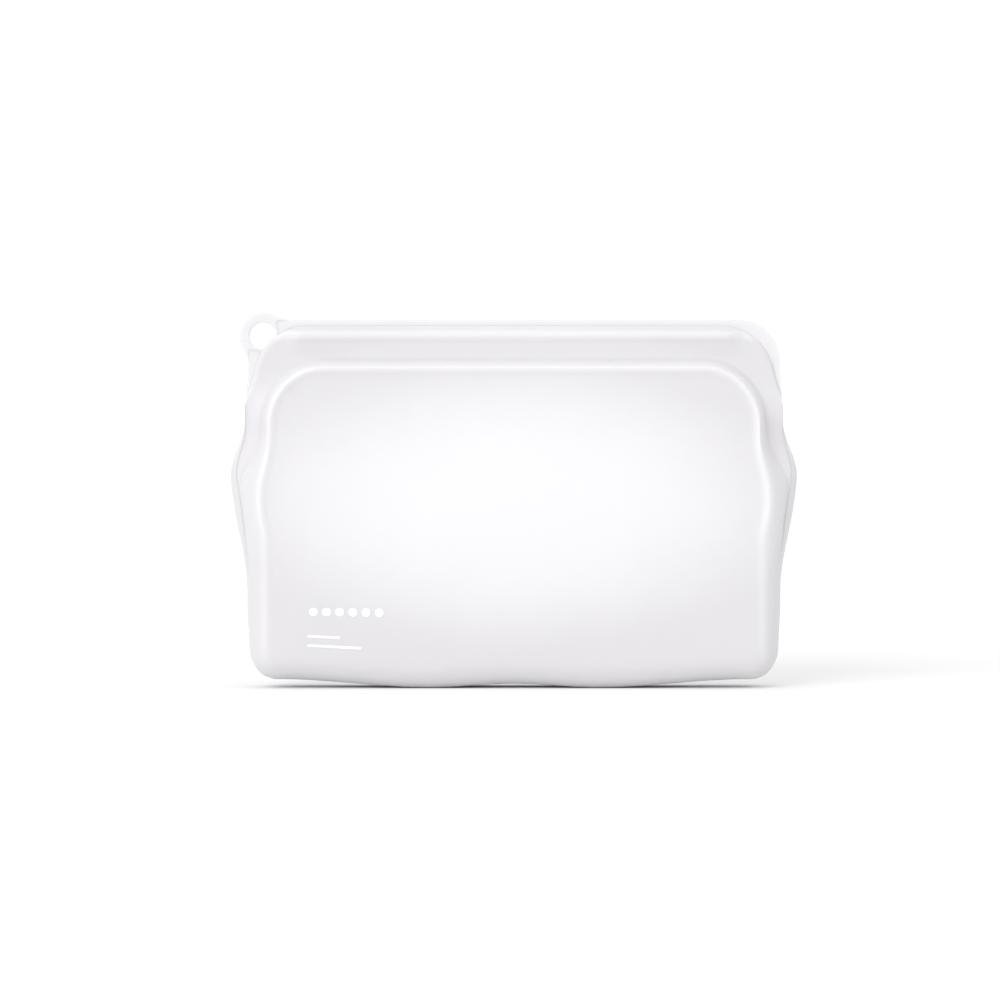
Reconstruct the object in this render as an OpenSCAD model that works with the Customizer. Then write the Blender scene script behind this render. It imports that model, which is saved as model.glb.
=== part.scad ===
// Reusable moulded silicone food bag with a pinch seal, a flat base and a hanging loop.
// Millimetres. X is the width, Z is up from the surface that the bag stands on, and the front faces -Y.
// The bag stands empty and closed, as it leaves its mould.

/* [Bag] */
// Width between the straight side edges
body_w = 180; // [160:1:200]
// Height of the back lip above the base
body_h = 124; // [118:1:136]
// Depth of the pouch, front to back
body_d = 27; // [22:1:32]
// Thickness of the silicone walls
wall = 1.8; // [1.4:0.1:2.2]

/* [Side gussets] */
// How far each side flares out past the straight edge
flare = 5; // [0:0.5:7]
// Height of the widest point of the flare
flare_z = 70; // [62:1:76]
// Radius of the two bottom corners, seen from the front
corner_r = 8.5; // [6:0.5:10]
// Radius where the walls turn under into the base
base_r = 7; // [5:0.5:8]

/* [Pocket and shoulder] */
// Depth of the pouch just under the shoulder
shoulder_d = 17; // [12:1:20]
// Height of the lips and neck, from the foot of the shoulder to the top of the back lip
neck_h = 14; // [13:0.5:18]
// Distance from the bag's side to the raised pocket panel
pocket_inset = 6.5; // [5:0.5:8]
// Radius of the pocket panel's upper corners
pocket_r = 20; // [14:1:24]

/* [Lips and seal] */
// How much lower the front lip is than the back lip
lip_step = 2.2; // [1:0.1:3]
// Radius of the back lip's outer corners
lip_r = 14; // [12:0.5:14.5]
// Distance from the top of the back lip down to the middle of the seal
seal_drop = 5.5; // [5:0.5:6.5]
// Width of the rib that is pressed into the track
rib_w = 1.6; // [1.2:0.1:2]
// Room between the rib and each rail of the track
seal_clearance = 0.5; // [0.4:0.05:0.7]

/* [Hanging loop] */
// Distance of the loop's centre in from the bag's side
loop_inset = 5.1; // [4.6:0.1:5.4]
// Distance of the loop's centre below the top of the back lip
loop_drop = 5.5; // [5:0.1:5.8]
// Radius of the hole
loop_hole_r = 5; // [4.5:0.1:5.4]
// Outer radius of the loop
loop_r = 8.1; // [7.6:0.1:8.6]

/* [Hidden] */

$fn = 64;

// Colours: frosted translucent silicone, a shade darker where it turns away, and white ink
silicone = [0.93, 0.93, 0.95];
silicone_deep = [0.86, 0.86, 0.89];
silicone_thin = [0.96, 0.96, 0.98];
ink = [0.99, 0.99, 0.99];

// Heights at which one region of the moulding meets the next
base_top = 8;
hinge_z = 60;
taper_z = 42;
seam_z = 92;

// The gap that lets the upper walls swing clear of the pouch, and the gap between the two closed layers
swing_gap = 0.4;
layer_gap = 0.3;

// The walls and lips reach this far each side of the middle; the gussets and seamed corners carry on outside
seam_x = body_w / 2 - 15;
shoulder_z = body_h - neck_h;
// The gussets end here, just above the pocket panel's corners, and the flat seamed corners begin
corner_z = shoulder_z - 4;
// Thickness of a lip, and how far a closed lip's outer face is from the middle plane
lip_t = 2;
lip_out = lip_t + layer_gap;
// Half the thickness of the gusset at its outermost fold
keel_t = 0.6;
// Distance over which the shoulder steps down from the pocket panel
shoulder_run = 3.5;
// Side profile of the gusset: how boxy its curve is at the bottom and at the seam
boxy_low = 3.4;
boxy_high = 0.9;
// How far the flare reaches above and below its widest point
flare_up = 20;
flare_down = 38;

// Seal band: the lips stand off from each other here to hold the rib and the rails
band_h = 5.6;
band_gap = 1.5;
rib_reach = 0.7;
rail_w = 1.1;
seal_z = body_h - seal_drop;

// The front lip is lower and narrower than the back lip, with tighter corners
front_top = body_h - lip_step;
front_edge = body_w / 2 - lip_step;
front_r = min(lip_r - 1.4, front_edge - seam_x - 0.1);

// Centre of the loop, as if it were on the right
loop_x = body_w / 2 - loop_inset;
loop_z = body_h - loop_drop;
// Radii of the hollow curves from the loop into the top edge and into the side edge
loop_fillet_top = 10;
loop_fillet_side = 4;

// ---- Curves that every region shares ----

function mix(a, b, t) = a + (b - a) * t;
function smooth(t) = let (c = min(1, max(0, t))) c * c * (3 - 2 * c);
function steps(low, high, n) = [for (i = [0:n]) mix(low, high, i / n)];

// The same, closer together towards high
function steps_closing(low, high, n) = [for (t = steps(0, 90, n)) mix(low, high, sin(t))];

// How much a rounded edge of radius r has taken off at height z above it
function rounding(z, r) = let (h = min(r, max(0, z))) r - sqrt(r * r - (r - h) * (r - h));

function flare_at(z) =
    let (t = (z - flare_z) / (z > flare_z ? flare_up : flare_down))
    abs(t) < 1 ? flare * (1 + cos(180 * t)) / 2 : 0;

// Half the width at height z; s is the distance inwards, 0 on the outside and wall on the inside
function half_width(z, s) = body_w / 2 - s + flare_at(z) - rounding(z - s, corner_r - s);

// Half the depth of the pouch at height z
function pouch_depth(z, s) =
    mix(body_d / 2, shoulder_d / 2, smooth((z - taper_z) / (shoulder_z - taper_z)))
    - s - rounding(z - s, base_r - s);

// Half the thickness of the flat seam that the pocket stands up from
function sheet_depth(z, s) =
    s > 0 ? layer_gap : mix(keel_t, lip_out, smooth((z - flare_z) / (seam_z - flare_z)));

// How far a point is inside the rounded outline of the pocket panel
function inside_pocket(x, z) =
    let (dx = max(0, abs(x) - body_w / 2 + pocket_inset + pocket_r), dz = max(0, z - shoulder_z + pocket_r))
    pocket_r - sqrt(dx * dx + dz * dz);

// Distance of the front surface from the middle plane
function front_depth(x, z, s) =
    mix(sheet_depth(z, s), pouch_depth(z, s), smooth((inside_pocket(x, z) - s / 2) / shoulder_run));

// ---- Closed solids built from rings of points ----

// A wall: each ring runs along the outer face and back along the inner face
module wall_loft(rings) {
    n = len(rings[0]);
    last = (len(rings) - 1) * n;
    sides = [for (i = [0:len(rings) - 2], j = [0:n - 1])
        let (k = (j + 1) % n, a = i * n, b = (i + 1) * n)
        each [[a + j, b + j, b + k], [a + j, b + k, a + k]]];
    ends = [for (j = [0:n / 2 - 2])
        let (a = j, b = j + 1, c = n - 2 - j, d = n - 1 - j)
        each [[a, b, c], [a, c, d], [last + c, last + b, last + a], [last + d, last + c, last + a]]];
    polyhedron([for (ring = rings) each ring], concat(sides, ends), convexity = 8);
}

// A solid: each ring is a whole outline of the bag
module solid_loft(rings) {
    n = len(rings[0]);
    last = (len(rings) - 1) * n;
    sides = [for (i = [0:len(rings) - 2], j = [0:n - 1])
        let (k = (j + 1) % n, a = i * n, b = (i + 1) * n)
        each [[a + j, b + j, b + k], [a + j, b + k, a + k]]];
    polyhedron([for (ring = rings) each ring],
               concat(sides, [[for (j = [0:n - 1]) j], [for (j = [n - 1:-1:0]) last + j]]), convexity = 4);
}

// The front skin between two heights, from -half to half across
module front_skin(low, high, half, columns, rows) {
    right = steps_closing(0, half, columns);
    across = concat([for (i = [columns:-1:1]) -right[i]], right);
    wall_loft([for (z = steps_closing(low, high, rows))
        let (face = [for (x = across) [x, -front_depth(x, z, 0), z]])
        concat(face, [for (i = [len(face) - 1:-1:0]) face[i] + [0, wall, 0]])]);
}

// The gusset's curve at height z, from the front skin's edge round the outermost fold to the back
function gusset_curve(z, s) =
    let (n = mix(boxy_low, boxy_high, smooth((z - taper_z) / (seam_z - taper_z))),
         w = half_width(z, s), f = sheet_depth(z, s), d = max(f, front_depth(seam_x, z, s)),
         back = [for (t = steps(0, 90, 9))
             [mix(seam_x, w, pow(sin(t), 2 / n)), mix(f, d, pow(cos(t), 2 / n)), z]])
    concat([for (p = back) [p[0], -p[1], z]], [for (i = [len(back) - 1:-1:0]) back[i]]);

module gusset() {
    wall_loft([for (z = steps(base_top, corner_z, 25))
        let (inner = gusset_curve(z, wall))
        concat(gusset_curve(z, 0), [for (i = [len(inner) - 1:-1:0]) inner[i]])]);
}

// A whole outline of the bag at height z, placed that much higher or lower by lift
function outline(z, s, lift = 0) =
    let (right = gusset_curve(z, s))
    concat([for (p = right) [p[0], p[1], z + lift]],
           [for (i = [len(right) - 1:-1:0]) [-right[i][0], right[i][1], z + lift]]);

// ---- Regions of the pouch ----

module base_panel() {
    color(silicone_deep)
        difference() {
            solid_loft([for (z = steps(0, base_top, 8)) outline(z, 0)]);
            solid_loft(concat([for (z = steps(wall, base_top, 7)) outline(z, wall)],
                              [outline(base_top, wall, 1)]));
        }
}

module front_wall() {
    color(silicone) front_skin(base_top, hinge_z, seam_x, 4, 8);
}

module back_wall() {
    color(silicone) mirror([0, 1, 0]) front_skin(base_top, hinge_z, seam_x, 4, 8);
}

module right_gusset() {
    color(silicone_deep) gusset();
}

module left_gusset() {
    color(silicone_deep) mirror([1, 0, 0]) gusset();
}

// ---- Upper walls, which swing out as the mouth opens ----

module front_upper_wall() {
    color(silicone) front_skin(hinge_z + swing_gap, shoulder_z, seam_x - swing_gap, 16, 26);
}

module back_upper_wall() {
    color(silicone) mirror([0, 1, 0]) front_skin(hinge_z + swing_gap, shoulder_z, seam_x - swing_gap, 16, 26);
}

// A lip along the whole mouth: flat plate, standing off round the seal band, with a rounded top edge
module lip(top) {
    length = 2 * (seam_x - swing_gap);
    translate([-length / 2, 0, 0]) {
        difference() {
            union() {
                translate([0, -lip_out, shoulder_z]) cube([length, lip_t, top - lip_t / 2 - shoulder_z]);
                translate([0, -lip_out + lip_t / 2, top - lip_t / 2]) rotate([0, 90, 0])
                    cylinder(r = lip_t / 2, h = length);
                translate([0, -band_gap - wall, seal_z - band_h / 2])
                    cube([length, wall, band_h]);
            }
            translate([-1, -band_gap, seal_z - band_h / 2]) cube([length + 2, band_gap, band_h]);
        }
    }
}

module front_lip() {
    color(silicone) lip(front_top);
}

module back_lip() {
    color(silicone_thin) mirror([0, 1, 0]) lip(body_h);
}

module seal_rib() {
    length = 2 * (seam_x - swing_gap) - 4;
    color(silicone_deep) {
        translate([-length / 2, -band_gap, seal_z - rib_w / 2]) cube([length, band_gap + rib_reach, rib_w]);
        translate([-length / 2, rib_reach, seal_z]) rotate([0, 90, 0]) cylinder(r = rib_w / 2, h = length);
    }
}

module rail(z) {
    length = 2 * (seam_x - swing_gap) - 4;
    color(silicone_deep)
        translate([-length / 2, -rib_reach, z]) cube([length, rib_reach + band_gap, rail_w]);
}

module track_lower_rail() {
    rail(seal_z - rib_w / 2 - seal_clearance - rail_w);
}

module track_upper_rail() {
    rail(seal_z + rib_w / 2 + seal_clearance);
}

// ---- Seamed corners and the hanging loop, which stay with the pouch ----

function arc(centre, r, from, to, n) = [for (a = steps(from, to, n)) centre + r * [cos(a), sin(a)]];

// One layer of a seamed corner on the right, with its top corner rounded
module corner_layer(edge, top, r, front, back) {
    translate([0, back, 0]) rotate([90, 0, 0]) linear_extrude(back - front)
        polygon(concat([[seam_x, corner_z], [edge, corner_z]], arc([edge - r, top - r], r, 0, 90, 16),
                       [[seam_x, top]]));
}

module front_corner() {
    corner_layer(front_edge, front_top, front_r, -lip_out, layer_gap);
}

module back_corner() {
    corner_layer(body_w / 2, body_h, lip_r, 0, lip_out);
}

module loop_hole() {
    translate([loop_x, 0, loop_z]) rotate([-90, 0, 0]) cylinder(r = loop_hole_r, h = 2 * lip_out);
}

module right_seam_corner() {
    color(silicone_thin) {
        front_corner();
        back_corner();
    }
}

// The loop's hole runs into the back layer of this corner, and the front layer covers that part of it
module left_seam_corner() {
    color(silicone_thin) mirror([1, 0, 0]) {
        front_corner();
        difference() {
            back_corner();
            loop_hole();
        }
    }
}

// The loop stands out from the corner's back layer and runs into its edges in two hollow curves,
// each of which stops while it is still thick enough to mould
module hanging_loop() {
    ring = [loop_x, loop_z];
    lean_top = loop_r + loop_fillet_top;
    rise_top = loop_drop + loop_fillet_top;
    fillet_top = ring + [-sqrt(lean_top * lean_top - rise_top * rise_top), rise_top];
    lean_side = loop_r + loop_fillet_side;
    run_side = loop_inset + loop_fillet_side;
    fillet_side = ring + [run_side, -sqrt(lean_side * lean_side - run_side * run_side)];
    turn_top = acos((fillet_top[0] - loop_x) / lean_top);
    turn_side = -acos(run_side / lean_side);
    tail = 6;
    corner = [body_w / 2 - lip_r, body_h - lip_r];
    color(silicone_thin) mirror([1, 0, 0])
        difference() {
            translate([0, lip_out, 0]) rotate([90, 0, 0]) linear_extrude(lip_t)
                polygon(concat(arc(ring, loop_r, turn_side, turn_top, 24),
                               arc(fillet_top, loop_fillet_top, turn_top + 180, 270 + tail, 6),
                               arc(corner, lip_r + 0.02, 90 - tail, tail, 16),
                               arc(fillet_side, loop_fillet_side, 180 - tail, turn_side + 180, 6)));
            loop_hole();
        }
}

// ---- Printed mark: plain bars and dots of white ink on the front wall ----

module printed_mark() {
    color(ink) translate([0, -body_d / 2, 0]) mirror([0, 1, 0]) {
        for (i = [0:5]) translate([-67 + i * 4.4, 0, 25.3]) rotate([-90, 0, 0]) cylinder(r = 1.5, h = 0.2);
        translate([-69, 0, 15.6]) cube([11, 0.2, 1]);
        translate([-69, 0, 12.2]) cube([18, 0.2, 1]);
    }
}

base_panel();
front_wall();
back_wall();
left_gusset();
right_gusset();
front_upper_wall();
back_upper_wall();
front_lip();
back_lip();
seal_rib();
track_lower_rail();
track_upper_rail();
left_seam_corner();
right_seam_corner();
hanging_loop();
printed_mark();
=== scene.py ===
import math

import bpy
import numpy as np
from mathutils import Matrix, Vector


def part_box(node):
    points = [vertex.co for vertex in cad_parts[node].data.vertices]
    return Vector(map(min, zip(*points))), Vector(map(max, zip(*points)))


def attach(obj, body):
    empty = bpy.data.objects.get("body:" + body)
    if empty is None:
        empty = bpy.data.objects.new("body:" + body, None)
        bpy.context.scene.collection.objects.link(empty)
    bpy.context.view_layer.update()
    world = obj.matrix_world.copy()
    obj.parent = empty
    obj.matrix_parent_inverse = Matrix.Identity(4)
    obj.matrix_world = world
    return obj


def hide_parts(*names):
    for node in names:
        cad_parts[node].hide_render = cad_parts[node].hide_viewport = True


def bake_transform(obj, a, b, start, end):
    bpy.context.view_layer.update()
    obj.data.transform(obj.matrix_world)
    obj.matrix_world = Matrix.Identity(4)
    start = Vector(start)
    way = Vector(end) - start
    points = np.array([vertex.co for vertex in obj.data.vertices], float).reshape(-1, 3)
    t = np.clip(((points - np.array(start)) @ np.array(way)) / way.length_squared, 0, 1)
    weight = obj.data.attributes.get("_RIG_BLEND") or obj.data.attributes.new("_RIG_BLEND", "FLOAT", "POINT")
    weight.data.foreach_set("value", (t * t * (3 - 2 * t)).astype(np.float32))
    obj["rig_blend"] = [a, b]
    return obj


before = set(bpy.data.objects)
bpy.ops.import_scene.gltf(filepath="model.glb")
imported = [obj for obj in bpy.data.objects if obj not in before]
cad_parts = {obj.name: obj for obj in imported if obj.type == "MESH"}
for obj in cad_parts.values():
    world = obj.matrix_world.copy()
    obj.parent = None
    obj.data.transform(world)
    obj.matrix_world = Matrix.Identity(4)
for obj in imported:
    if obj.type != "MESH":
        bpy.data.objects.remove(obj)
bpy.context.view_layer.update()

# ---- Camera ----
# A long lens straight in front of the bag, level with the middle of its height, so that its
# sides stay parallel. The view is 338 mm wide at the bag, which stands a little right of centre.
view_width = 0.338
lens_mm = 110
bpy.ops.object.camera_add(
    location=(-0.0047, -view_width * lens_mm / 36, 0.063), rotation=(math.radians(90), 0, 0)
)
camera = bpy.context.object
camera.data.lens = lens_mm
camera.data.clip_start = 0.05
bpy.context.scene.camera = camera


# ---- Front skin ----
# The front of the bag is one sheet of soft silicone, 1.8 mm thick: the raised pocket with the rim
# round it, the step in to the neck, the bead over the seal, and the front lip. It is moulded in
# one piece, and it ends in a fine mould line just in front of each side.
MM = 0.001


def mix(a, b, t):
    return a + (b - a) * t


def smooth(t):
    t = min(1.0, max(0.0, t))
    return t * t * (3 - 2 * t)


def hump(t):
    """1 at t = 0, falling smoothly to 0 at 1 either side."""
    return 0.5 + 0.5 * math.cos(math.pi * min(1.0, abs(t)))


# Sizes in millimetres, taken from the frame
body_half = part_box("right_seam_corner")[1].x / MM
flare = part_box("right_gusset")[1].x / MM - body_half + 0.2
panel_depth = -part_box("front_wall")[0].y / MM - 0.6
back_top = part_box("back_lip")[1].z / MM
front_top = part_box("front_lip")[1].z / MM
lip_step = back_top - front_top
seal_z = (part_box("seal_rib")[0].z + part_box("seal_rib")[1].z) / 2 / MM
shoulder_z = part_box("front_lip")[0].z / MM + 0.6
mouth_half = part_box("seal_rib")[1].x / MM

# Sizes in millimetres that the frame doesn't give
skin_t = 1.8
base_r = 8.0            # where the skins turn under
base_half = 6.0         # half the depth of the flat base
corner_r = 8.5          # the lower corners
back_r = 14.0           # the upper corners of the back lip
front_r = 18.0          # and of the front lip
pocket_r = 22.0         # the upper corners of the pocket, round its foot
pocket_half = 85.3      # half the pocket's width there
shoulder_depth = 8.6    # the pocket's upper edge, from the middle plane
seam_depth = 1.75       # the bonded seams' outer face, from the middle plane
low_inset = 1.2         # the lower mould line, in from the outermost fold
fold_z = 70.0           # where the sides flare out furthest
rim_z = 64.0            # where the rim swells out furthest
gusset_top = 96.0
lift_top = 34.0         # the bottom edge's waves have died out here
lobe_half = 28.5        # from the middle of the bottom edge to where its end starts to lift


def side_edge(z):
    """Half the width of the bag at height z, at the outermost fold of its sides."""
    reach = 20 if z > fold_z else 38
    fullness = 0.9 * smooth((112 - z) / 24) * smooth((z - 60) / 20)
    return body_half + flare * hump((z - fold_z) / reach) + fullness - 0.9 * smooth((30 - z) / 26)


def skin_edge(z, step):
    """Half the width of a skin at height z: it ends in the mould line, inside the outermost fold."""
    inset = mix(low_inset, 0.05, smooth((z - 78) / 16)) + 1.4 * hump((z - 62) / 26)
    return side_edge(z) - inset - step * smooth((z - 95) / 12)


def edge_depth(z):
    return mix(base_half, seam_depth, smooth((z - 42) / 48))


def foot_half(z):
    """Half the width of the raised pocket at its foot."""
    return mix(skin_edge(z, 0) - 0.8, pocket_half, smooth((z - 66) / 22))


def foot_depth(z):
    return edge_depth(z) + 1.0 - smooth((z - 60) / 20)


def rim_half(z):
    """Half the width between the crests of the rim at the pocket's sides."""
    reach = 20 if z > rim_z else 21
    return mix(82.6, 82.2, smooth((z - 50) / 40)) + 2.9 * hump((z - rim_z) / reach)


def inside_pocket(x, z):
    """Distance in from the rounded outline of the pocket's foot."""
    across = max(0.0, abs(x) - foot_half(z) + pocket_r)
    up = max(0.0, z - shoulder_z + pocket_r)
    return pocket_r - math.hypot(across, up)


def inside_edge(x, z):
    """Distance in from the mould line round the sides, the lower corners and the bottom."""
    across = abs(x) - (side_edge(z) - low_inset - corner_r)
    down = corner_r - z
    round_there = across > 0 and down > 0
    return corner_r - (math.hypot(across, down) if round_there else max(across, down))


def crest(x, z):
    """How near a point is to the crest of the pocket's rim, 1 on it and 0 away from it. Below the
    swell the crest goes on down the sides as a low straight ridge."""
    rim = math.exp(-(((inside_pocket(x, z) - foot_half(z) + rim_half(z) - 0.2) / 1.5) ** 2))
    low = 0.55 * math.exp(-(((abs(x) - 83.3) / 1.5) ** 2)) * smooth((z - 6) / 9)
    return mix(low, rim, smooth((z - 45) / 12))


def neck_depth(x, z):
    """What the neck and lip stand off the flat seam, with the bead over the seal."""
    ends = smooth((mouth_half + 5 - abs(x)) / 6)
    lean = 0.9 * smooth((z - shoulder_z) / 7) * smooth((front_top - 0.2 - z) / 2.4)
    bead = 0.75 * hump((z - seal_z) / 2.6)
    return (lean + bead) * ends


def side_apron(z, outside):
    """Beside the pocket's upper half the seam is a sloping apron that thins out to its edge.
    outside is the distance out from the pocket."""
    return 1.1 * (1 - smooth(outside / 4.8)) * smooth((106 - z) / 16) * smooth((z - 68) / 16)


def skin_depth(x, z):
    """Distance of the outer face from the middle plane of the bag."""
    panel = mix(panel_depth, shoulder_depth, smooth((z - 42) / 66))
    dome = 1.9 * max(0.0, 1 - (x / 84) ** 2) * max(0.0, 1 - ((z - 58) / 54) ** 2)
    ramp = foot_half(z) - rim_half(z)
    inside = inside_pocket(x, z)
    t = min(1.0, max(0.0, inside / ramp))
    ridge = 0.75 * crest(x, z)
    if inside > 0:
        profile = mix(math.sqrt(1 - (1 - t) ** 2), smooth(t), smooth((z - 50) / 32))
        foot = foot_depth(z) + side_apron(z, 0)
        upper = foot + (panel - foot + dome + ridge) * profile
    else:
        out = (abs(x) - foot_half(z)) / max(0.1, side_edge(z) - low_inset - foot_half(z))
        out = min(1.0, max(0.0, out)) if z < shoulder_z else 1.0
        flat = mix(foot_depth(z), edge_depth(z), out)
        upper = flat + side_apron(z, -inside) + neck_depth(x, z)
    if z > 58:
        return upper
    left = 1 - min(1.0, max(0.0, inside_edge(x, z) / base_r))
    lower = base_half + (panel + dome + ridge - base_half) * math.sqrt(1 - left * left)
    return mix(lower, upper, smooth((z - 30) / 28))


def bottom_wave(x):
    """Height of the bottom edge: the bag stands on two soft lobes and its ends lift."""
    if abs(x) < lobe_half:
        return 0.65 * (1 + math.cos(math.pi * x / lobe_half))
    return 2.8 * smooth((abs(x) - lobe_half) / 50)


def standing_z(x, z):
    """The height of a point once the bottom edge's waves have lifted it."""
    return z + bottom_wave(x) * (1 - smooth(z / lift_top))


def round_corner(x, z, edge, top, radius, low_radius):
    """Moves a point of an upright grid so that the grid's square corners become round ones."""
    p = abs(x) - (edge - radius)
    q = z - (top - radius)
    if p > 0 and q > 0:
        p, q = (p * math.sqrt(1 - q * q / (2 * radius ** 2)),
                q * math.sqrt(1 - p * p / (2 * radius ** 2)))
        return math.copysign(edge - radius + p, x), top - radius + q
    p = abs(x) - (edge - low_radius)
    q = low_radius - z
    if p > 0 and q > 0:
        p, q = (p * math.sqrt(1 - q * q / (2 * low_radius ** 2)),
                q * math.sqrt(1 - p * p / (2 * low_radius ** 2)))
        return math.copysign(edge - low_radius + p, x), low_radius - q
    return x, z


def skin_rows(top):
    """Heights of the grid's rows: close together where the skin turns under, at the pocket's
    corners, and at the bead."""
    turn = [base_r * (1 - math.cos(math.radians(a))) for a in range(0, 90, 10)]
    lip = [top - d for d in (1.3, 0.9, 0.6, 0.35, 0.15, 0.04, 0)]
    return (turn + list(np.arange(base_r, 86, 2.2)) + list(np.arange(86, 105, 0.8))
            + list(np.arange(105, top - 1.6, 0.6)) + lip)


def skin_columns(z, step):
    """Places of the grid's columns right of the middle, out to the mould line."""
    edge = skin_edge(z, step)
    rim, foot = rim_half(z), min(foot_half(z), edge - 1.0)
    panel = [mix(0, 58, i / 20) for i in range(20)] + [mix(58, rim, i / 36) for i in range(36)]
    ramp = [mix(rim, foot, math.sin(math.radians(90 * i / 8))) for i in range(8)]
    last = [min(1.3, (edge - foot) * 0.9) * d for d in (1, 0.7, 0.45, 0.25, 0.1, 0.03, 0)]
    apron = [mix(foot, edge - last[0], i / 3) for i in range(3)]
    return panel + ramp + apron + [edge - d for d in last]


half_columns = len(skin_columns(60, 0)) - 1


def skin_point(side, column, z):
    """The point of a skin's outer face at a signed column and a row's height, in metres. The front
    skin, side -1, is lower and narrower at the mouth than the back one, side 1."""
    step, top, radius = (lip_step, front_top, front_r) if side < 0 else (0.0, back_top, back_r)
    columns = skin_columns(z, step)
    x = math.copysign(columns[abs(column)], column)
    x, z = round_corner(x, z, columns[-1], top, radius, corner_r)
    return Vector((x, side * skin_depth(x, z), standing_z(x, z))) * MM


def lip_rounding(side, x, z):
    """How far a lip's outer face rounds in towards its free edge, at the sides, corners and top."""
    step, top, radius, drop, reach = (
        (lip_step, front_top, front_r, 1.2, 1.8) if side < 0 else (0.0, back_top, back_r, 0.8, 1.0))
    across = abs(x) - (skin_edge(min(z, top), step) - radius)
    up = z - (top - radius)
    out = math.hypot(across, up) if across > 0 and up > 0 else max(across, up)
    left = 1 - min(1.0, max(0.0, radius - out) / reach)
    return drop * (1 - math.sqrt(1 - left * left)) * smooth((z - gusset_top) / 6)


def make_skin(name, side):
    """A skin drawn over the mould from a flat grid: side is -1 for the front and 1 for the back."""
    heights = skin_rows(front_top if side < 0 else back_top)
    rows = len(heights) - 1
    bpy.ops.object.select_all(action="DESELECT")
    bpy.ops.mesh.primitive_grid_add(x_subdivisions=2 * half_columns, y_subdivisions=rows, size=2)
    skin = bpy.context.object
    skin.name = name
    for vertex in skin.data.vertices:
        column = round(vertex.co.x * half_columns)
        row = round((vertex.co.y + 1) / 2 * rows)
        vertex.co = skin_point(side, -side * column, heights[row])
    return skin


def thicken(piece, share=None):
    """Gives a sheet the wall's thickness inwards. share(vertex) is the part a vertex keeps."""
    bpy.context.view_layer.objects.active = piece
    wall = piece.modifiers.new("wall", "SOLIDIFY")
    wall.thickness = skin_t * MM
    wall.offset = -1
    if share:
        group = piece.vertex_groups.new(name="wall")
        for vertex in piece.data.vertices:
            group.add([vertex.index], share(vertex), "REPLACE")
        wall.vertex_group = group.name
    bpy.ops.object.modifier_apply(modifier=wall.name)
    piece.vertex_groups.clear()
    bpy.ops.object.shade_smooth_by_angle(angle=math.radians(50))


def mark_crest_highlight(skin):
    """Records on the skin where the crest of the rim runs, for a painted highlight: the silicone is painted
    paler there.
    """
    marked = skin.data.attributes.new("crest", "FLOAT", "POINT").data
    for vertex, mark in zip(skin.data.vertices, marked):
        mark.value = crest(vertex.co.x / MM, vertex.co.z / MM)


def round_lip(skin, side, outer):
    """Rounds the outer face of a skin's lip: the outer vertices come first in a thickened sheet."""
    for vertex in skin.data.vertices[:outer]:
        vertex.co.y -= side * lip_rounding(side, vertex.co.x / MM, vertex.co.z / MM) * MM


class Value:
    """A shader socket that takes part in Python arithmetic."""

    def __init__(self, finish, socket):
        self.finish, self.socket = finish, socket

    def _math(self, operation, other, swap=False):
        first, second = (other, self) if swap else (self, other)
        return self.finish.node("ShaderNodeMath", {"operation": operation}, {0: first, 1: second})

    def __add__(self, other):
        return self._math("ADD", other)

    def __mul__(self, other):
        return self._math("MULTIPLY", other)

    def __sub__(self, other):
        return self._math("SUBTRACT", other)

    def __rsub__(self, other):
        return self._math("SUBTRACT", other, True)

    __radd__, __rmul__ = __add__, __mul__


class Finish:
    """The nodes of a material, or of the studio round about."""

    def __init__(self, owner, shader="Principled BSDF", coordinates="Object"):
        owner.use_nodes = True
        self.owner, self.tree = owner, owner.node_tree
        self.shader = self.tree.nodes[shader]
        self.place = self.node("ShaderNodeTexCoord", {}, {}, coordinates)

    def node(self, kind, settings, inputs, output=0):
        made = self.tree.nodes.new(kind)
        for key, value in settings.items():
            setattr(made, key, value)
        for key, value in inputs.items():
            if isinstance(value, Value):
                self.tree.links.new(value.socket, made.inputs[key])
            else:
                made.inputs[key].default_value = value
        return Value(self, made.outputs[output])

    def noise(self, size, detail=3.0, roughness=0.5, stretch=(1, 1, 1)):
        """Noise with blobs about that many millimetres across, longer where stretch is over 1."""
        spread = self.node("ShaderNodeMapping", {}, {
            "Vector": self.place, "Scale": [1 / (size * MM * s) for s in stretch]})
        return self.node("ShaderNodeTexNoise", {}, {
            "Vector": spread, "Scale": 1.0, "Detail": detail, "Roughness": roughness}, "Fac")

    def range(self, value, low, high, out_low, out_high):
        return self.node("ShaderNodeMapRange", {"interpolation_type": "SMOOTHSTEP"}, {
            "Value": value, "From Min": low, "From Max": high, "To Min": out_low, "To Max": out_high})

    def blend(self, amount, a, b):
        a, b = (end if isinstance(end, Value) else (*end, 1) for end in (a, b))
        return self.node("ShaderNodeMix", {"data_type": "RGBA"}, {"Factor": amount, 6: a, 7: b}, 2)

    def bump(self, height, distance, strength, normal=None):
        inputs = {"Height": height, "Distance": distance * MM, "Strength": strength}
        if normal:
            inputs["Normal"] = normal
        return self.node("ShaderNodeBump", {}, inputs)

    def link(self, **sockets):
        for key, value in sockets.items():
            name = key.replace("_", " ")
            if isinstance(value, Value):
                self.tree.links.new(value.socket, self.shader.inputs[name])
            else:
                self.shader.inputs[name].default_value = value


def beyond(finish, corner_x, corner_z):
    """Distance out from a point near the upper corners, alike left and right, in metres."""
    apart = finish.node("ShaderNodeVectorMath", {"operation": "SUBTRACT"}, {
        0: finish.node("ShaderNodeVectorMath", {"operation": "ABSOLUTE"}, {0: finish.place}),
        1: (corner_x * MM, 1, corner_z * MM)})
    outward = finish.node("ShaderNodeVectorMath", {"operation": "MAXIMUM"}, {0: apart, 1: (0, 0, 0)})
    return finish.node("ShaderNodeVectorMath", {"operation": "LENGTH"}, {0: outward}, "Value")


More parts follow.
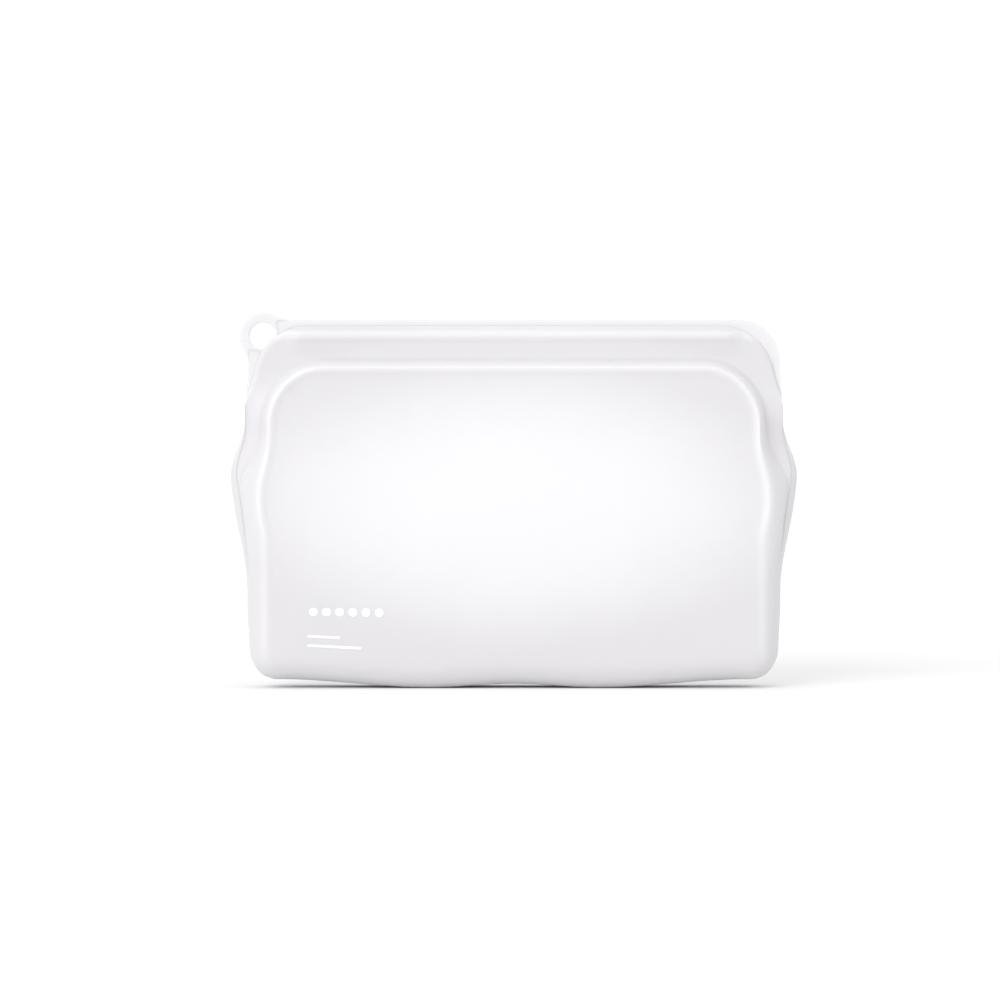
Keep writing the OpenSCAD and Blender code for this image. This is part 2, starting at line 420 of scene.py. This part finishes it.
def silicone(name, gloss, lip=0.0):
    """Frosted platinum silicone with painted light and shade: painted bright and milky in the middle of
    the pocket and painted greyer with shade towards its outline, with painted highlights on the rim
    and the bead and painted light on the neck, faintly cloudy, with the fine blasted grain of its
    mould and dull scuffs where it is handled. lip is how much painted backlight lightens a lip of one layer."""
    # Painted light: the first colour is the painted brightness, the second the painted shade, and the third
    # painted backlight through a lip of one layer; the glow values place the middle of the painted
    # brightness.
    lit_milk, shaded_grey, backlit_single_layer = (0.838, 0.830, 0.848), (0.722, 0.710, 0.732), (0.795, 0.788, 0.805)
    glow_z, glow_half, glow_high = 0.062, 0.130, 0.066
    finish = Finish(bpy.data.materials.new(name))
    from_glow = finish.node("ShaderNodeVectorMath", {"operation": "SUBTRACT"}, {
        0: finish.place, 1: (0, 0, glow_z)})
    apart = finish.node("ShaderNodeVectorMath", {"operation": "MULTIPLY"}, {
        0: from_glow, 1: (1 / glow_half, 0, 1 / glow_high)})
    away = finish.node("ShaderNodeVectorMath", {"operation": "DOT_PRODUCT"}, {
        0: apart, 1: apart}, "Value")
    cloud = finish.noise(26, 2.0)
    mottle = finish.noise(4, 3.0, 0.6)
    grain = finish.noise(0.3, 2.0, 0.6)
    scuffs = finish.range(finish.noise(3.0, 4.0, 0.65, (5, 5, 0.5)), 0.60, 0.74, 0, 1)
    high = finish.node("ShaderNodeSeparateXYZ", {}, {"Vector": finish.place}, "Z")
    off_pocket = beyond(finish, pocket_half - pocket_r, shoulder_z - pocket_r)
    # The neck round the pocket's upper edge, where painted light lifts the colour.
    neck = (finish.range(off_pocket, (pocket_r - 0.5) * MM, (pocket_r + 1.2) * MM, 0, 1)
            * finish.range(high, 0.085, 0.098, 0, 1))
    # Painted highlight along the bead over the seal.
    bead = (finish.range(high, (seal_z - 2.2) * MM, (seal_z - 0.5) * MM, 0, 1)
            * finish.range(high, (seal_z + 0.8) * MM, (seal_z + 2.3) * MM, 1, 0))
    # Painted shade: the colour runs from painted brightness in the middle of the pocket to painted shade
    # towards its outline and bottom, broken up by the cloud and mottle.
    amount = finish.range(away + cloud * 0.12 + mottle * 0.05 - 0.085, 0, 0.62, 0, 1)
    colour = finish.blend(amount, lit_milk, shaded_grey)
    # Painted light: the neck is painted paler towards the middle of the bag.
    colour = finish.blend(neck * finish.range(away, 0.66, 0.98, 0.3, 0), colour, lit_milk)
    # Painted highlight on the bead.
    colour = finish.blend(bead * 0.45, colour, lit_milk)
    # Painted highlight along the crest of the rim, read from the skin's crest attribute.
    pale = finish.node("ShaderNodeAttribute", {"attribute_name": "crest"}, {}, "Fac")
    colour = finish.blend(pale * 0.7, colour, lit_milk)
    if lip:
        # Painted backlight: beyond the front lip's corners the single layer of the back lip and the loop is
        # painted paler, as if light shone through it.
        corner = beyond(finish, skin_edge(front_top, lip_step) - front_r, front_top - front_r)
        painted_backlight = finish.range(corner, (front_r - 0.8) * MM, (front_r + 0.4) * MM, 0, 1)
        colour = finish.blend(painted_backlight * lip, colour, backlit_single_layer)
    finish.link(Base_Color=colour, Roughness=gloss + mottle * 0.12 + scuffs * 0.06)
    soft = finish.bump(mottle, 0.04, 0.2)
    finish.link(Normal=finish.bump(grain, 0.015, 0.3, soft))
    finish.link(IOR=1.41, Subsurface_Weight=0.6, Subsurface_Scale=0.0012,
                Subsurface_Radius=(1.0, 0.95, 0.95), Sheen_Weight=0.25, Sheen_Roughness=0.5)
    return finish.owner


silicone_gloss = 0.40
body_silicone = silicone("frosted silicone", silicone_gloss)

front_skin = make_skin("front_skin", -1)
outer = len(front_skin.data.vertices)
thicken(front_skin)
round_lip(front_skin, -1, outer)
mark_crest_highlight(front_skin)
front_skin.data.materials.append(body_silicone)


def open_like_a_lens(piece, child):
    """The upper part of a skin bends out about its hinge line, most in the middle. The ends of the
    mouth are seamed, so the bend fades to nothing there, and the mouth opens as a lens."""
    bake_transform(piece, "pouch", child, start=(0, 0, 0.038), end=(0, 0, 0.094))
    held = (mouth_half + 6) * MM
    weights = piece.data.attributes["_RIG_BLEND"].data
    for vertex, weight in zip(piece.data.vertices, weights):
        lens = max(0.0, 1 - (vertex.co.x / held) ** 2) ** 1.4
        weight.value *= lens


open_like_a_lens(front_skin, "front_mouth")
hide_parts("front_wall", "front_upper_wall", "front_lip")


# ---- Back skin ----
# The back of the bag is the same sheet of soft silicone turned round. Its lip stands a little
# above the front one as a single layer, painted paler with painted backlight, and the hole of the
# hanging loop goes through its left corner, where the sheet draws back inside the loop's plate.
loop_low, loop_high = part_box("hanging_loop")
ring_r = 8.1
hole_r = 4.5
ring = Vector((loop_low.x / MM + ring_r, loop_high.z / MM - ring_r))


def slanted(x, z):
    """A place near the left corner, seen from the hole: how far inward it is, and how far aside."""
    return (x - ring.x + ring.y - z) / math.sqrt(2), (x - ring.x + z - ring.y) / math.sqrt(2)


back_skin = make_skin("back_skin", 1)
corner_in, corner_aside = slanted(back_r - skin_edge(back_top, 0), back_top - back_r)
clear_r = hole_r + 0.7
for vertex in back_skin.data.vertices:
    x, z = vertex.co.x / MM, vertex.co.z / MM
    inward, aside = slanted(x, z)
    if abs(aside) < 8 and inward < 20:
        lip_edge = corner_in - math.sqrt(back_r ** 2 - (aside - corner_aside) ** 2)
        round_part = min(abs(aside), 0.8 * clear_r)
        hole_edge = math.sqrt(clear_r ** 2 - round_part ** 2) - 4 / 3 * (abs(aside) - round_part)
        shift = max(0.0, hole_edge - lip_edge)
        shift *= (1 - smooth((inward - lip_edge) / 14)) / math.sqrt(2)
        vertex.co = Vector((x + shift, skin_depth(x + shift, z - shift), z - shift)) * MM
outer = len(back_skin.data.vertices)
thicken(back_skin)
round_lip(back_skin, 1, outer)
mark_crest_highlight(back_skin)
# The back lip and the loop carry painted backlight where they stand as a single layer.
lip_silicone = silicone("frosted silicone, single layer, painted backlight", silicone_gloss, 0.9)
back_skin.data.materials.append(lip_silicone)
open_like_a_lens(back_skin, "back_mouth")
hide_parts("back_wall", "back_upper_wall", "back_lip",
            "left_seam_corner", "right_seam_corner")


# ---- Side gussets ----
# The sides are soft folds moulded with the skins: a strip from the front mould line over the
# outermost fold to the back one, widest low down, and closing to nothing under the seamed corners.
def make_gusset(name, side):
    heights = [z for z in skin_rows(back_top) if z < gusset_top]
    rows, across = len(heights) - 1, 14
    bpy.ops.object.select_all(action="DESELECT")
    bpy.ops.mesh.primitive_grid_add(x_subdivisions=across, y_subdivisions=rows, size=2)
    strip = bpy.context.object
    strip.name = name
    for vertex in strip.data.vertices:
        turn = vertex.co.x * side
        z = heights[round((vertex.co.y + 1) / 2 * rows)]
        front, back = (skin_point(face, side * half_columns, z) for face in (-1, 1))
        angle = turn * math.pi / 2
        flat = mix((turn + 1) / 2, (math.sin(angle) + 1) / 2, smooth((z - 64) / 18))
        point = front.lerp(back, flat)
        fold = side_edge(z) - skin_edge(z, 0)
        swell = fold * smooth(z / 10) * smooth((gusset_top - z) / 10) * math.cos(angle)
        vertex.co = point + Vector((side * swell * MM, 0, 0))
    return strip


for side, name, node in (
        (1, "right_gusset_fold", "right_gusset"), (-1, "left_gusset_fold", "left_gusset")):
    gusset = make_gusset(name, side)
    thicken(gusset, lambda vertex: 1 - 0.6 * smooth((vertex.co.z / MM - 62) / 22))
    gusset.data.materials.append(body_silicone)
    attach(gusset, "pouch")
    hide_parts(node)


# ---- Base ----
# The floor of the pouch: a narrow strip of the same silicone between the rounded lower edges of
# the skins. It rests on two soft lobes and lifts towards the lower corners.
bpy.ops.object.select_all(action="DESELECT")
bpy.ops.mesh.primitive_grid_add(x_subdivisions=2 * half_columns, y_subdivisions=8, size=2)
base_strip = bpy.context.object
base_strip.name = "base_strip"
for vertex in base_strip.data.vertices:
    front = skin_point(-1, round(vertex.co.x * half_columns), 0.0)
    vertex.co = Vector((front.x, vertex.co.y * front.y, front.z))
thicken(base_strip)
base_strip.data.materials.append(body_silicone)
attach(base_strip, "pouch")
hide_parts("base_panel")


# ---- Seal ----
# The zip of the bag: a round rib along the inside of the front lip presses between two rails along
# the inside of the back lip. All three are moulded with the lips, and bend open with them.
def make_bead(name, node, root, tip):
    """A bar along the mouth with rounded ends, from a depth at its root to a depth at its tip."""
    low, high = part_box(node)
    steps, round_steps = 64, 14
    bpy.ops.object.select_all(action="DESELECT")
    bpy.ops.mesh.primitive_grid_add(x_subdivisions=steps, y_subdivisions=round_steps, size=2)
    bar = bpy.context.object
    bar.name = name
    middle = Vector((0, (root + tip) / 2 * MM, (low.z + high.z) / 2))
    half = Vector((high.x, abs(tip - root) / 2 * MM, (high.z - low.z) / 2))
    round_end = 0.015
    for vertex in bar.data.vertices:
        along, turn = vertex.co.x, vertex.co.y * math.pi
        end = max(0.0, (abs(along) - 1 + round_end) / round_end)
        slim = math.sqrt(max(0.0, 1 - end ** 2))
        vertex.co = middle + Vector((along * half.x, -half.y * slim * math.cos(turn),
                                     half.z * slim * math.sin(turn)))
    bpy.ops.object.mode_set(mode="EDIT")
    bpy.ops.mesh.select_all(action="SELECT")
    bpy.ops.mesh.remove_doubles(threshold=0.01 * MM)
    bpy.ops.mesh.normals_make_consistent(inside=False)
    bpy.ops.object.mode_set(mode="OBJECT")
    bpy.ops.object.shade_smooth()
    return bar


for name, node, child, root, tip in (
        ("seal_bead", "seal_rib", "front_mouth", -2.2, 1.3),
        ("lower_seal_rail", "track_lower_rail", "back_mouth", 2.4, -0.7),
        ("upper_seal_rail", "track_upper_rail", "back_mouth", 2.4, -0.7)):
    bar = make_bead(name, node, root, tip)
    bar.data.materials.append(body_silicone)
    open_like_a_lens(bar, child)
    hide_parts(node)


# ---- Hanging loop ----
# A flat silicone ring with a round hole, moulded as one piece with the left corner of the back
# lip. Hollow curves lead from the ring into the top edge and the side edge.
plate_reach = 10.8
top_hollow, side_hollow = (Vector((9.35, 15.5)), 10.0), (Vector((-9.1, -8.0)), 4.0)


def ring_reach(angle):
    """How far the plate reaches from the hole's centre in that direction: to the ring's outline, to
    one of the hollow curves, or in over the lip's corner."""
    way = Vector((math.cos(angle), math.sin(angle)))
    if math.radians(-122.5) < angle < math.radians(30.5):
        top = (back_top - ring.y) / way.y if way.y > 0 else plate_reach
        side = (body_half + ring.x) / -way.x if way.x < 0 else plate_reach
        return min(plate_reach, top, side) - 0.05
    for (place, radius), turned in ((top_hollow, 1), (side_hollow, -1)):
        along, aside = way.dot(place), (place.x * way.y - place.y * way.x) * turned
        if along > 0 and -radius < aside <= 0:
            return along - math.sqrt(radius * radius - aside * aside)
    return ring_r


bpy.ops.object.select_all(action="DESELECT")
bpy.ops.mesh.primitive_torus_add(
    major_segments=120, minor_segments=20, major_radius=2, minor_radius=1)
hanger = bpy.context.object
hanger.name = "hang_loop"
squareness = 0.35       # 1 would leave the ring's section round
for vertex in hanger.data.vertices:
    angle = math.atan2(vertex.co.y, vertex.co.x)
    round_angle = math.atan2(vertex.co.z, math.hypot(vertex.co.x, vertex.co.y) - 2)
    reach = ring_reach(angle)
    flat, thick = (math.copysign(abs(part) ** squareness, part)
                   for part in (math.cos(round_angle), math.sin(round_angle)))
    radius = (hole_r + reach) / 2 + flat * (reach - hole_r) / 2
    depth = seam_depth / 2 + skin_t / 2 * thick
    vertex.co = Vector((ring.x + radius * math.cos(angle), depth,
                        ring.y + radius * math.sin(angle))) * MM
bpy.ops.object.mode_set(mode="EDIT")
bpy.ops.mesh.select_all(action="SELECT")
bpy.ops.mesh.normals_make_consistent(inside=False)
bpy.ops.object.mode_set(mode="OBJECT")
bpy.ops.object.shade_smooth_by_angle(angle=math.radians(50))
hanger.data.materials.append(lip_silicone)
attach(hanger, "pouch")
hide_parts("hanging_loop")


# ---- Printed mark ----
# White silicone ink screen printed on the front, a row of dots over two short bars. It stands
# about a tenth of a millimetre proud of the skin.
ink = Finish(bpy.data.materials.new("white ink"))
speckle = ink.noise(0.4, 2.0)
ink.link(Base_Color=ink.blend(speckle, (0.96, 0.96, 0.96), (1.0, 1.0, 1.0)),
         Roughness=0.45 + speckle * 0.15)
ink.link(Normal=ink.bump(speckle, 0.01, 0.3))


ink_proud = 0.12


def print_patch(left, z, length, radius):
    """A dot, or a bar with round ends, laid on the front skin."""
    bpy.ops.mesh.primitive_circle_add(vertices=32, radius=radius, fill_type="TRIFAN")
    patch = bpy.context.object
    stretch = length - 2 * radius
    for vertex in patch.data.vertices:
        x = left + radius + vertex.co.x + (stretch if vertex.co.x > 0.001 * radius else 0)
        high = z + vertex.co.y
        vertex.co = Vector((x, -skin_depth(x, high) - ink_proud, standing_z(x, high))) * MM
    bpy.ops.object.mode_set(mode="EDIT")
    bpy.ops.mesh.select_all(action="SELECT")
    bpy.ops.mesh.extrude_region_move(TRANSFORM_OT_translate={"value": (0, 0.25 * MM, 0)})
    bpy.ops.object.mode_set(mode="OBJECT")
    return patch


mark_low, mark_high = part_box("printed_mark")
mark_left, dot_r, dot_pitch, bar_r = mark_low.x / MM, 1.5, 4.4, 0.5
patches = [print_patch(mark_left + 0.5 + dot_pitch * i, mark_high.z / MM - dot_r, 2 * dot_r, dot_r)
           for i in range(6)]
patches += [print_patch(mark_left, 16.1, 11.0, bar_r), print_patch(mark_left, 12.7, 18.0, bar_r)]
bpy.ops.object.select_all(action="DESELECT")
for patch in patches:
    patch.select_set(True)
bpy.context.view_layer.objects.active = patches[0]
bpy.ops.object.join()
print_ink = bpy.context.object
print_ink.name = "print_ink"
print_ink.data.materials.append(ink.owner)
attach(print_ink, "pouch")
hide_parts("printed_mark")


# ---- Floor and light ----
# A pale paper floor, a broad soft key light from the upper left of the camera, and a studio round
# about that is a little brighter above than below, so the bag's underside falls into soft shade.
bpy.ops.object.select_all(action="DESELECT")
bpy.ops.mesh.primitive_circle_add(
    vertices=96, radius=6, fill_type="NGON", location=(0, 0, -0.0001))
floor = bpy.context.object
floor.name = "studio_floor"
bpy.ops.object.transform_apply(location=True)
paper = Finish(bpy.data.materials.new("studio paper"))
seen = paper.node("ShaderNodeLightPath", {}, {}, "Is Camera Ray")
paper.link(Base_Color=paper.blend(seen, (0.85, 0.85, 0.85), (0.97, 0.97, 0.97)),
           Roughness=0.9, Specular_IOR_Level=0.0)
floor.data.materials.append(paper.owner)

bpy.ops.object.light_add(type="SUN", location=(-0.8, -1.3, 0.75))
key = bpy.context.object
key.name = "key_light"
key.data.energy = 1.1
key.data.angle = math.radians(40)
key.rotation_euler = (Vector((0, 0, 0.06)) - key.location).to_track_quat("-Z", "Y").to_euler()

studio = Finish(bpy.data.worlds.new("studio"), "Background", "Generated")
height = studio.node("ShaderNodeSeparateXYZ", {}, {"Vector": studio.place}, "Z")
glow = studio.node("ShaderNodeMapRange", {}, {
    "Value": height, "From Min": -0.2, "From Max": 0.9, "To Min": 0.87, "To Max": 0.94})
seen = studio.node("ShaderNodeLightPath", {}, {}, "Is Camera Ray")
strength = studio.node("ShaderNodeMix", {}, {"Factor": seen, "A": glow, "B": 1.05}, "Result")
studio.link(Color=(1, 1, 1, 1), Strength=strength)
bpy.context.scene.world = studio.owner
bpy.context.scene.view_settings.view_transform = "Standard"

bpy.ops.object.select_all(action="DESELECT")
